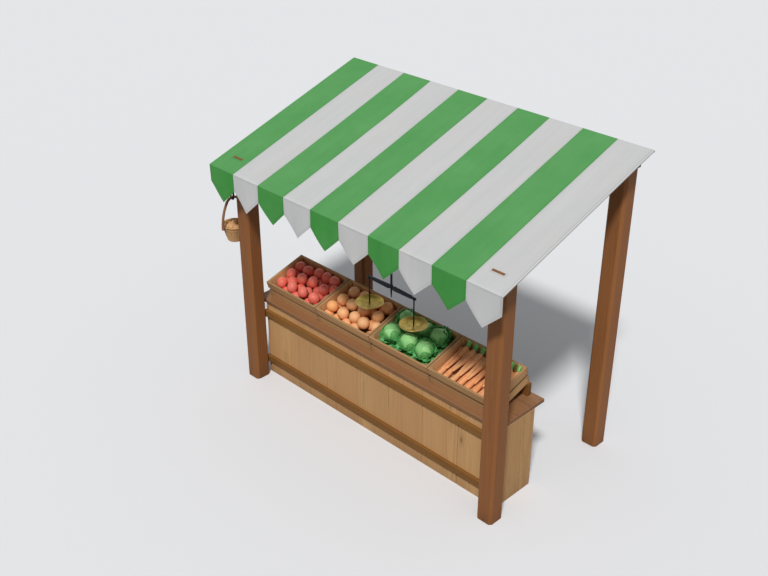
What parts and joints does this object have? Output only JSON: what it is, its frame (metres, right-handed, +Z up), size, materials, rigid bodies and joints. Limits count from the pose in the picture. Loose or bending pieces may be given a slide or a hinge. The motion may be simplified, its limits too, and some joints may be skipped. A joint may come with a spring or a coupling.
{
  "type": "wooden market stall",
  "caption": "Wooden market stall with a sloping striped canopy, a boarded counter, tilted crates of produce, a hanging balance and a hanging basket.",
  "frame": {"origin": "on the ground, under the middle of the counter's front, at the middle of the board's thickness and halfway between the posts", "axes": "+X along the counter to the customer's right, +Y from the front to the back, +Z up; customers stand on the -Y side"},
  "size_m": [3.141, 1.592, 2.5413],
  "materials": {
    "post_wood": "oiled sawn timber, chamfered edges",
    "frame_wood": "sawn timber, darker",
    "board_wood": "planed pine boards",
    "table_wood": "reddish-brown planks",
    "crate_wood": "thin sawn slats",
    "green_cloth": "woven canvas",
    "white_cloth": "woven canvas",
    "iron": "black iron, satin",
    "brass": "dull brass",
    "wicker": "woven cane",
    "cane": "bent cane",
    "tomato_skin": "smooth red skin",
    "orange_peel": "dimpled orange peel",
    "cabbage_leaf": "veined green leaves",
    "carrot_skin": "ridged orange skin",
    "carrot_green": "cut green stalks",
    "crust": "baked crust"
  },
  "bodies": {
    "stall": {"front_left_post": "post_wood", "front_right_post": "post_wood", "back_left_post": "post_wood", "back_right_post": "post_wood", "crate_riser": "post_wood", "front_beam": "frame_wood", "back_beam": "frame_wood", "left_rafter": "frame_wood", "middle_rafter": "frame_wood", "right_rafter": "frame_wood", "front_batten": "frame_wood", "back_batten": "frame_wood", "upper_rail": "frame_wood", "lower_rail": "frame_wood", "front_boards": "board_wood", "left_end_panel": "board_wood", "right_end_panel": "board_wood", "counter_battens": "board_wood", "back_top_rail": "board_wood", "tabletop": "table_wood", "tomato_crate": "crate_wood", "orange_crate": "crate_wood", "cabbage_crate": "crate_wood", "carrot_crate": "crate_wood", "canopy_green": "green_cloth", "valance_green": "green_cloth", "canopy_white": "white_cloth", "valance_white": "white_cloth", "balance_hanger": "iron", "basket_hook": "iron", "basket": "wicker", "basket_handle": "cane", "tomatoes": "tomato_skin", "oranges": "orange_peel", "cabbages": "cabbage_leaf", "carrots": "carrot_skin", "carrot_tops": "carrot_green", "basket_rolls": "crust"},
    "balance_arm": {"balance_beam": "iron", "balance_pointer": "iron"},
    "left_scale": {"left_pan_rod": "iron", "left_pan": "brass"},
    "right_scale": {"right_pan_rod": "iron", "right_pan": "brass"}
  },
  "joints": [
    {"name": "beam_swing", "type": "hinge", "parent": "stall", "child": "balance_arm", "pos_m": [0, 0.199, 1.281], "axis": [0, 1, 0], "range_deg": [-6, 6]},
    {"name": "left_pan_swing", "type": "hinge", "parent": "balance_arm", "child": "left_scale", "pos_m": [-0.242, 0.199, 1.278], "axis": [0, 1, 0], "range_deg": [-6.5, 6.5]},
    {"name": "right_pan_swing", "type": "hinge", "parent": "balance_arm", "child": "right_scale", "pos_m": [0.242, 0.199, 1.278], "axis": [0, 1, 0], "range_deg": [-6.5, 6.5]}
  ],
  "couplings": [
    {"joint": "left_pan_swing", "follows": "beam_swing", "ratio": -1},
    {"joint": "right_pan_swing", "follows": "beam_swing", "ratio": -1}
  ]
}
